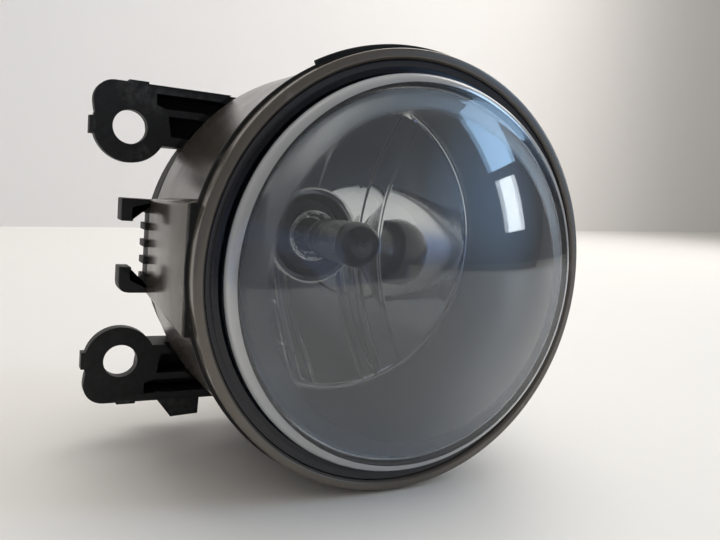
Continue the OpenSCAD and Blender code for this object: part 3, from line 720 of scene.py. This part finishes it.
putPiece("railHooks", makeRailHooks(hookLook), blackPlastic, "lamp", sharp=50)
print("housing made")

# --- gasket and adhesive ---
gasketLook = {"in": 47.87, "out": 49.05, "crown": 49.9, "front": 4.05, "back": 5.4, "crownFrom": 64,
              "crownTo": 120, "pad": (-48.7, -45.5, -13.2, 13), "padFrom": 4.4, "padTo": 5.5}


def sweptRound(section, start, end, steps, height=0.0):
    # a section of radius and depth carried along part of a circle, from one angle to another in degrees
    angle = np.radians(np.linspace(start, end, steps))[:, None]
    radius, depth = section.T[:, None]
    points = np.stack([radius * np.cos(angle), depth + 0 * angle, height + radius * np.sin(angle)], -1)
    return gridPart(points, caps=True)


def makeGasket(look):
    # a thin ring, a raised crown on part of it, and the pad in front of the side box
    inner, outer, crown, front, back = pick(look, "in out crown front back")
    ring = softCorners([(inner, front), (inner, back), (outer, back), (outer, front + 0.4),
                        (inner + 0.4, front)], 0.2)
    section = softCorners([(inner, front + 0.35), (inner, back), (crown, back), (crown, front + 0.35)], 0.45)
    pad = prism(rectangle(*look["pad"]), "Y", look["padFrom"], look["padTo"], 0.15, 0.5)
    return [turned(ring, roundSteps), sweptRound(section, look["crownFrom"], look["crownTo"], 80), pad]


putPiece("rimGasket", makeGasket(gasketLook), gasketRubber, "lamp", ["rim_gasket"],
         sharp=50)
adhesiveProfile = softCorners([(41.7, 2.7), (41.7, 2.2), (43.38, 2.0), (43.4, 0.75), (44.6, 1.05),
                               (46.22, 0.75), (46.22, 2.75)], [0.1, 0.1, 0.1, 0.3, 1.5, 0.3, 0.1], 6)
putPiece("lensAdhesive", [turned(adhesiveProfile, roundSteps)], adhesiveBlack, "lamp", ["lens_adhesive"],
         sharp=50)

# --- inner bezel: its centre rises from the lens opening to the bowl ---
bezelProfile = softCorners([(39.7, 0.4, 0), (40.5, 0.4, 0), (40.5, 7, 0), (40.1, 33.1, bulbHeight),
                            (38.7, 33.1, bulbHeight), (39.0, 7, 0)], [0.35, 0.3, 1, 0.2, 0.4, 3], 8)
putPiece("innerBezel", [turned(bezelProfile, roundSteps)], satinBezel, "lamp", ["inner_bezel"],
         sharp=50)

# --- reflector: a parabola cut into upright facets ---
bowlLook = {"rim": 38.2, "rimDepth": 33.2, "opening": 12.0, "focal": 15.3, "thickness": 1.2, "step": 0.05,
            "left": {"bounds": [-38.15, -30, -24.5, -22, -19.5, -17, -14.5],
                     "bulge": [0.1, 0.4, 0.34, 0.3, 0.34, 0.28, 0.32],
                     "tilt": [0.01, -0.02, 0.03, -0.03, 0.04, -0.03, 0.04],
                     "stepped": [1, 1, 1, 1, 1, 1, 0.8]},
            "lower": {"bounds": [-11.5, -7, 8, 9.6, 12.4, 14.4, 19.6, 38.15],
                      "bulge": [0.3, 0.1, 0.12, 0.22, 0.14, 0.08, 0.05],
                      "tilt": [-0.03, 0.0, 0.07, -0.06, 0.06, -0.02, 0.0], "stepped": [0, 0, 0, 0, 0, 0, 0]},
            "upper": {"bounds": [-12, -9.5, 0.5, 14.4, 19.6, 38.15], "bulge": [0.24, 0.08, 0.1, 0.08, 0.05],
                      "tilt": [-0.03, 0.02, -0.03, -0.02, 0.0], "stepped": [0.3, 0, 0, 0, 0]},
            "levels": [0.0, 0.22, 0.5, 0.78, 1.0], "levelRise": [0.0, 0.16, -0.1, 0.14],
            "levelTilt": [0.02, -0.02, 0.03, -0.02], "perLevel": 16, "levelGap": 0.002, "spacing": 0.5,
            "tiltReach": 4, "levelReach": 6, "fadeOut": 0.8, "fadeIn": 1.0}


def makeBowlHalf(look, side):
    # columns stand at chosen x; along each, z runs from the opening (or the middle) to the rim's circle,
    # y = vertex - r^2 / 4f + bulge (1 - t^2) + reach tilt t + rise, with t from -1 to 1 across a facet
    rim, opening, focal = pick(look, "rim opening focal")
    rest = look["upper"] if side > 0 else look["lower"]  # the facets at the left are the same in both halves
    bounds, bulge, tilt, stepped = [np.array(look["left"][k] + rest[k]) for k in look["left"]]
    counts = [max(8, int((b - a) / look["spacing"])) for a, b in zip(bounds[:-1], bounds[1:])]
    gap = look["step"] / 2
    x = np.concatenate([np.linspace(a + gap, b - gap, n) for a, b, n in zip(bounds[:-1], bounds[1:], counts)])
    across = np.concatenate([np.linspace(-1, 1, n) for n in counts])
    facet = np.repeat(np.arange(len(counts)), counts)
    levels = np.array(look["levels"])
    share = np.linspace(0, 1, look["perLevel"])
    levelGap = look["levelGap"]
    v = (levels[:-1, None] + levelGap + (levels[1:] - levels[:-1] - 2 * levelGap)[:, None] * share).ravel()
    v[0], v[-1] = 0.0, 1.0
    level = np.repeat(np.arange(len(levels) - 1), look["perLevel"])
    along = np.tile(2 * share - 1, len(levels) - 1)
    zIn = np.sqrt(np.maximum(opening**2 - x**2, 0))
    zOut = np.sqrt(np.maximum(rim**2 - x**2, 0))
    z = side * (zIn[:, None] + (zOut - zIn)[:, None] * v)
    radius = np.sqrt(x[:, None] ** 2 + z**2)
    vertex = look["rimDepth"] + rim**2 / (4 * focal)
    fade = np.clip((rim - radius) / look["fadeOut"], 0, 1)
    fade = fade * np.clip((radius - opening) / look["fadeIn"], 0, 1)
    shape = bulge[facet][:, None] * (1 - across[:, None] ** 2)
    shape = shape + tilt[facet][:, None] * across[:, None] * look["tiltReach"]
    checked = stepped[facet][:, None] * np.where((facet[:, None] + level) % 2, 1, -1)
    rise, lean = np.array(look["levelRise"])[level], np.array(look["levelTilt"])[level]
    shape = shape + checked * (rise + lean * along * look["levelReach"])
    y = vertex - radius**2 / (4 * focal) + shape * fade
    points = np.stack([x[:, None] + 0 * z, y, bulbHeight + z], -1)
    return gridPart(points, closeColumns=False)


def makeReflector(look):
    parts = [makeBowlHalf(look, 1), makeBowlHalf(look, -1)]
    mirror = putPiece("reflectorMirror", parts, mirrorSurface, "lamp", ["reflector"],
                      outward=False)
    work = bmesh.new()
    work.from_mesh(mirror.data)
    bmesh.ops.remove_doubles(work, verts=work.verts, dist=halvesApart)
    bmesh.ops.recalc_face_normals(work, faces=work.faces)
    work.faces.ensure_lookup_table()
    lookBack = sum(f.normal.y * f.calc_area() for f in work.faces)
    if lookBack > 0:
        bmesh.ops.reverse_faces(work, faces=work.faces)
    work.to_mesh(mirror.data)
    work.free()
    wall = mirror.modifiers.new("wall", "SOLIDIFY")
    wall.thickness = look["thickness"] / 1000
    wall.offset = -1


makeReflector(bowlLook)
rimProfile = softCorners([(38.0, 33.35), (38.15, 33.2), (40.05, 33.2), (40.05, 34.9), (38.9, 34.9),
                          (37.2, 34.6)], 0.25, 5)
collarProfile = softCorners([(11.9, 54.6), (13.5, 53.6), (13.6, 56.7), (11.9, 56.7)], 0.3, 5)
edges = [raised(turned(rimProfile, roundSteps)), raised(turned(collarProfile, 128))]
putPiece("reflectorEdges", edges, mirrorSurface, "lamp", sharp=50)
print("reflector made")

# --- bulb ---
bulbSteps = 96  # points round each small turned piece
bulbLook = {"radius": 5.6, "tip": 22.0, "coatBack": 28.6, "coat": 0.15, "neck": 4.7, "flareFrom": 44.7,
            "flareTo": 48.7, "pinchFrom": 50.6, "pinchHalf": 1.5, "back": glassHigh[1], "wall": 0.8}


def makeCapsule(look):
    # a tube with a shoulder, a thinner neck and a closed end, then pressed flat where the wires go through
    r, wall, end, neck = pick(look, "radius wall pinchFrom neck")
    coatBack, flareFrom, flareTo, back = pick(look, "coatBack flareFrom flareTo back")
    outside = [(0, end), (neck - 1, end), (neck, flareTo), (r, flareFrom), (r, coatBack), (r - 0.5, coatBack)]
    inside = [(r - wall, coatBack + 0.6), (r - wall, flareFrom + 0.4), (neck - 1.3, flareTo), (0, end - 0.9)]
    profile = softCorners(outside + inside, [0, 1.2, 2.5, 3.5, 0.15, 0.15, 0.2, 3.0, 1.5, 0], 8, closed=False)
    half, thin, start = neck, look["pinchHalf"], end + 0.05
    pinch = [prism(rectangle(-half, half, -thin, thin), "Y", start, back, 0.4, 0.7)]
    for x in (-half + 1.1, half - 1.1):
        bead = rectangle(x - 0.9, x + 0.9, -thin - 0.9, thin + 0.9)
        pinch.append(prism(bead, "Y", start + 0.3, back - 0.1, 0.3, 0.5))
    parts = [raised(part) for part in [turned(profile, bulbSteps, loop=False)] + pinch]
    putPiece("bulbCapsule", parts, capsuleGlass, "bulb", ["bulb_glass"], sharp=60)


def makeTip(look):
    # a half ball on a short cylinder, open behind like a cap
    tip, back, r = look["tip"], look["coatBack"] + 0.1, look["radius"] + look["coat"]
    angle = np.linspace(0, pi / 2, 20)
    dome = np.column_stack([r * np.sin(angle), tip + look["radius"] * (1 - np.cos(angle))])
    rest = [(r, back), (r - 0.9, back), (r - 0.9, tip + 3.6), (r - 3.2, tip + 1.6), (0, tip + 0.9)]
    rest = softCorners(rest, [0.2, 0.2, 0.2, 2, 0], 5, closed=False)
    part = raised(turned(np.vstack([dome, rest]), bulbSteps, loop=False))
    putPiece("bulbTip", [part], tipCoating, "bulb", ["bulb_tip_coat"])


collarLook = {"outer": 7.3, "inner": 6.75, "hole": 5.0, "front": 54.3, "back": 57.69, "base": 0.6, "tabs": 10,
              "tabHalf": 13}


def makeCollar(look):
    # a pressed cup: a base ring, a wall, and a crown of tabs bent slightly inwards
    outer, inner, hole, front, back, base = pick(look, "outer inner hole front back base")
    cup = softCorners([(hole, back - base), (inner, back - base), (inner, front), (outer, front),
                       (outer, back), (hole, back)], [0.1, 0.4, 0.15, 0.15, 0.7, 0.1], 5)
    section = softCorners([(inner - 1.5, front + 1.6), (inner - 1.2, front + 1.6), (inner - 0.1, front + 0.3),
                           (inner - 0.1, front - 0.1), (inner - 0.5, front - 0.1)], 0.12, 3)
    parts = [raised(turned(cup, bulbSteps))]
    for i in range(look["tabs"]):
        middle = 360 / look["tabs"] * (i + 0.5)
        parts.append(sweptRound(section, middle - look["tabHalf"], middle + look["tabHalf"], 12, bulbHeight))
    putPiece("bulbCollar", parts, collarSteel, "bulb", ["bulb_collar"], sharp=50)


wireLook = {"wire": 0.28, "coilRadius": 0.55, "coilTurns": 11, "coilWire": 0.12, "coilFrom": 37.8,
            "coilTo": 42.2, "above": 0.4, "below": 2.6, "bendY": 35.0, "back": 49.2}


def sweptWire(path, radius, sides=10):
    # a round section carried along a path: p + r (cos(a) side + sin(a) across), with caps
    path = np.asarray(path, float)
    along = np.gradient(path, axis=0)
    along /= np.linalg.norm(along, axis=1)[:, None]
    side = np.cross(along, [0.3, 0.1, 1.0])
    side /= np.linalg.norm(side, axis=1)[:, None]
    across = np.cross(along, side)
    angle = np.linspace(0, 2 * pi, sides, endpoint=False)[None, :, None]
    points = path[:, None] + radius * (np.cos(angle) * side[:, None] + np.sin(angle) * across[:, None])
    return gridPart(points, caps=True)


def makeWires(look):
    # a coil between two leads, one straight back and one bent round in front of the coil
    radius, start, end, back = pick(look, "coilRadius coilFrom coilTo back")
    high, low = bulbHeight + look["above"], bulbHeight - look["below"]
    turn = np.linspace(0, 2 * pi * look["coilTurns"], look["coilTurns"] * 14)
    depth = np.linspace(start, end, len(turn))
    coil = np.column_stack([radius * np.cos(turn), depth, high + radius * np.sin(turn)])
    wire = sweptWire(coil, look["coilWire"], 8)
    putPiece("bulbFilament", [wire], tungstenWire, "bulb", ["bulb_filament"])
    straight = [(0, end, high), (0, 46, high), (0, back, high)]
    bend = look["bendY"]
    bent = softCorners([(0, start, high), (0, bend, high), (0, bend - 0.2, low), (0, back - 0.2, low)],
                       [0, 0.8, 0.8, 0], 6, closed=False)
    steps = np.linalg.norm(np.diff(bent, axis=0), axis=1)
    bent = bent[np.append(True, steps > 0.01)]  # without repeated points
    parts = [sweptWire(path, look["wire"]) for path in (straight, bent)]
    putPiece("bulbLeads", parts, tungstenWire, "bulb", ["bulb_leads"])


makeCapsule(bulbLook)
makeTip(bulbLook)
makeCollar(collarLook)
makeWires(wireLook)
print("bulb made")

# --- pieces whose CAD shape is right get rounded edges and their finish ---
softPieces = [
    ("mounting_bracket", blackPlastic, "bracket", "black_plastic", 0.35),
    ("bulb_holder", holderPlastic, "lamp", "holder_plastic", 0.3),
    ("bulb_base", basePlastic, "bulb", "base_plastic", 0.35),
    ("barrel_nut", naturalNylon, "nut", "nylon", 0.25),
    ("adjuster_screw", zincSteel, "screw", "zinc_steel", 0.2),
    ("screw_retainer", zincSteel, "screw", "zinc_steel", 0.1),
    ("vent_tube", gasketRubber, "lamp", "gasket_rubber", 0.25),
    ("holder_screws", zincSteel, "lamp", "zinc_steel", 0.12),
    ("reflector_screws", zincSteel, "lamp", "zinc_steel", 0.12),
    ("pivot_pin_left", zincSteel, "bracket", "zinc_steel", 0.2),
    ("pivot_pin_right", zincSteel, "bracket", "zinc_steel", 0.2),
    ("pivot_bush_left", naturalNylon, "lamp", "nylon", 0.1),
    ("pivot_bush_right", naturalNylon, "lamp", "nylon", 0.1),
    ("bulb_seal", sealSilicone, "bulb", "seal_rubber", 0.15),
    ("bulb_terminals", tinnedBrass, "bulb", "tinned_brass", 0.1),
]
for softPiece in softPieces:
    softened(*softPiece)
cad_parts["vent_membrane"].data.materials.clear()
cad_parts["vent_membrane"].data.materials.append(ventFabric)
print("CAD pieces finished:", len(softPieces) + 1)

# --- camera ---
cameraLook = {"place": (-0.083, -0.1285, 0.017), "yaw": 28.43, "pitch": -6.11, "roll": 4.5, "lens": 35.0}


def makeCamera(look):
    yaw, pitch, roll = np.radians(pick(look, "yaw pitch roll"))
    forward = Vector((sin(yaw) * cos(pitch), cos(yaw) * cos(pitch), sin(pitch)))
    level = Vector((cos(yaw), -sin(yaw), 0))
    up = level.cross(forward)
    right = level * cos(roll) + up * sin(roll)
    top = -level * sin(roll) + up * cos(roll)
    data = bpy.data.cameras.new("camera")
    data.lens, data.sensor_width, data.clip_start = look["lens"], 36.0, 0.005
    camera = addObject("camera", data)
    camera.matrix_world = Matrix.Translation(Vector(look["place"])) @ Matrix(
        (right, top, -forward)).transposed().to_4x4()
    bpy.context.scene.camera = camera


makeCamera(cameraLook)

# --- floor, wall and light ---
stageLook = {"floor": -0.0492, "wallFrom": (-0.068, 0.748), "wallTo": (4.786, 3.245),
             "wallBefore": 0.6, "wallAfter": 1.1, "wallHigh": 3.5, "reach": 6.0}


def addSheet(name, corners, rough):
    # one flat face of the stage, with its paint
    mesh = bpy.data.meshes.new(name)
    mesh.from_pydata(corners, [], [tuple(range(len(corners)))])
    sheet = addObject(name, mesh)
    material, tree, shader = newMaterial(name + "Paint", Roughness=rough)
    mesh.materials.append(material)
    sheet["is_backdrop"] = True
    return sheet, tree, shader


def paintedSheet(name, corners, color, rough):
    tree, shader = addSheet(name, corners, rough)[1:]
    clouds = use(tree, "clouds", Scale=3.0, Low=0.2, High=0.9)
    darker = tuple(0.97 * c for c in color[:3]) + (1.0,)
    tree.links.new(mixColors(tree, clouds, color, darker), shader.inputs["Base Color"])


def glowing(tree, shader, color, strength):
    # a sheet that gives light of its own and reflects none
    shader.inputs["Base Color"].default_value = rgb(0.0, 0.0, 0.0)
    feed(tree, shader.inputs["Emission Color"], color)
    feed(tree, shader.inputs["Emission Strength"], strength)


def makeStage(look):
    f, reach, high = look["floor"], look["reach"], look["wallHigh"]
    floor = [(x, y, f) for x, y in rectangle(-reach, reach, -reach, reach)]
    paintedSheet("floor", floor, rgb(0.80, 0.785, 0.755), 0.5)
    a, b = np.array(look["wallFrom"]), np.array(look["wallTo"])
    left, right = a - look["wallBefore"] * (b - a), a + look["wallAfter"] * (b - a)
    wall = [(*left, f), (*right, f), (*right, high), (*left, high)]
    paintedSheet("wall", wall, rgb(0.70, 0.685, 0.675), 0.8)


def areaLight(name, place, target, size, power, color):
    data = bpy.data.lights.new(name, "AREA")
    data.shape, data.size, data.size_y = "RECTANGLE", size[0], size[1]
    data.energy, data.color = power, color
    light = addObject(name, data)
    light.location = place
    light.rotation_euler = (Vector(place) - Vector(target)).to_track_quat("Z", "Y").to_euler()
    return light


def towards(azimuth, elevation, distance):
    a, e = radians(azimuth), radians(elevation)
    return Vector((sin(a) * cos(e), -cos(a) * cos(e), sin(e))) * distance


def makeCard(look):
    # an upright dark sheet that only reflections and rays through glass see, as of someone by the camera
    a = radians(look["azimuth"])
    away, along = np.array([sin(a), -cos(a)]), np.array([cos(a), sin(a)])
    distance, half, low, high = pick(look, "distance half low high")
    left, right = distance * away - half * along, distance * away + half * along
    corners = [(*left, low), (*right, low), (*right, high), (*left, high)]
    card, tree, shader = addSheet("darkCard", corners, 0.9)
    patches = noise(tree, add(tree, "TexCoord").outputs["Object"], 9.0, 1.0)
    lower = mixColors(tree, mapped(tree, patches, 0.48, 0.56), look["cloth"], look["clothDark"])
    color = mixColors(tree, mapped(tree, objectAxes(tree)["Z"], 0.04, 0.06), lower, look["upper"])
    glowing(tree, shader, color, 1.0)
    card.visible_camera = card.visible_diffuse = card.visible_shadow = False
    card.visible_volume_scatter = False


cardLook = {"azimuth": -48, "distance": 0.26, "half": 0.6, "low": -0.0485, "high": 0.9,
            "cloth": rgb(0.19, 0.26, 0.46), "clothDark": rgb(0.05, 0.05, 0.07),
            "upper": rgb(0.06, 0.056, 0.052)}


def glowSheet(name, place, radius, strength, color):
    # a round sheet turned towards the lamp, brightest in its middle: strength (1 - r^2)^2
    side = place.cross(Vector((0, 0, 1))).normalized()
    upright = side.cross(place).normalized()
    angle = np.linspace(0, 2 * pi, 48, endpoint=False)
    corners = [tuple(place + radius * (cos(a) * side + sin(a) * upright)) for a in angle]
    sheet, tree, shader = addSheet(name, corners, 1.0)
    away = add(tree, "VectorMath", {0: add(tree, "TexCoord").outputs["Object"], 1: tuple(place)},
               operation="DISTANCE").outputs["Value"]
    share = combine(tree, "DIVIDE", away, radius)
    level = mapped(tree, combine(tree, "MULTIPLY", share, share), 0.0, 1.0, 1.0, 0.0)
    level = combine(tree, "MULTIPLY", level, level)
    glowing(tree, shader, color, combine(tree, "MULTIPLY", level, strength))
    sheet.visible_camera = sheet.visible_shadow = sheet.visible_diffuse = sheet.visible_transmission = False


def makeLights():
    # places in metres, powers in watts; the sky and its glare come through a window at the right of the lamp
    middle = (0.0, 0.02, 0.0)
    areaLight("windowSky", towards(67, 34, 1.3), middle, (0.32, 0.42), 2.2, (0.42, 0.68, 1.0))
    areaLight("windowLow", towards(66, 15, 1.3), middle, (0.20, 0.32), 1.5, (0.88, 0.95, 1.0))
    ceiling = areaLight("ceiling", (0.3, 0.3, 1.6), middle, (1.4, 1.4), 15, (1.0, 0.975, 0.94))
    ceiling.visible_glossy = ceiling.visible_transmission = False
    glowSheet("windowHaze", towards(54, 17, 1.35), 0.75, 1.9, rgb(0.34, 0.60, 1.0))
    glow = areaLight("wallGlow", (0.75, 0.72, 0.95), middle, (1.3, 0.7), 9, (1.0, 0.98, 0.93))
    glow.visible_diffuse = glow.visible_transmission = False
    fill = areaLight("wallFill", (1.4, 0.3, 1.2), (1.6, 1.7, 0.5), (1.0, 1.0), 16, (1.0, 0.97, 0.93))
    fill.visible_glossy = fill.visible_transmission = False


def makeRoom():
    # a bright room for diffuse light, and a dark one with furniture for all that is reflected
    world = bpy.data.worlds.new("room")
    bpy.context.scene.world = world
    world.use_nodes = True
    tree = world.node_tree
    direction = add(tree, "TexCoord").outputs["Generated"]
    up = add(tree, "SeparateXYZ", {"Vector": direction}).outputs["Z"]
    room = mixColors(tree, mapped(tree, up, 0.0, 0.8), rgb(0.15, 0.145, 0.14), rgb(0.105, 0.10, 0.095))
    furniture = noise(tree, direction, 2.2, 1.0)
    room = mixColors(tree, mapped(tree, furniture, 0.5, 0.62), room, rgb(0.22, 0.19, 0.16))
    path = add(tree, "LightPath")
    seen = mixColors(tree, path.outputs["Is Diffuse Ray"], room, rgb(0.585, 0.57, 0.555))
    tree.links.new(seen, tree.nodes["Background"].inputs["Color"])


makeCard(cardLook)
makeStage(stageLook)
makeLights()
makeRoom()
bpy.context.scene.view_settings.view_transform = "Standard"
print("stage, lights and camera made")

bpy.context.view_layer.update()
newBounds = [list(corner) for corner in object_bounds()]
for label, bounds in (("CAD", cadBounds), ("visual", newBounds)):
    print(label, "box in mm", [[round(v * 1000, 2) for v in corner] for corner in bounds])
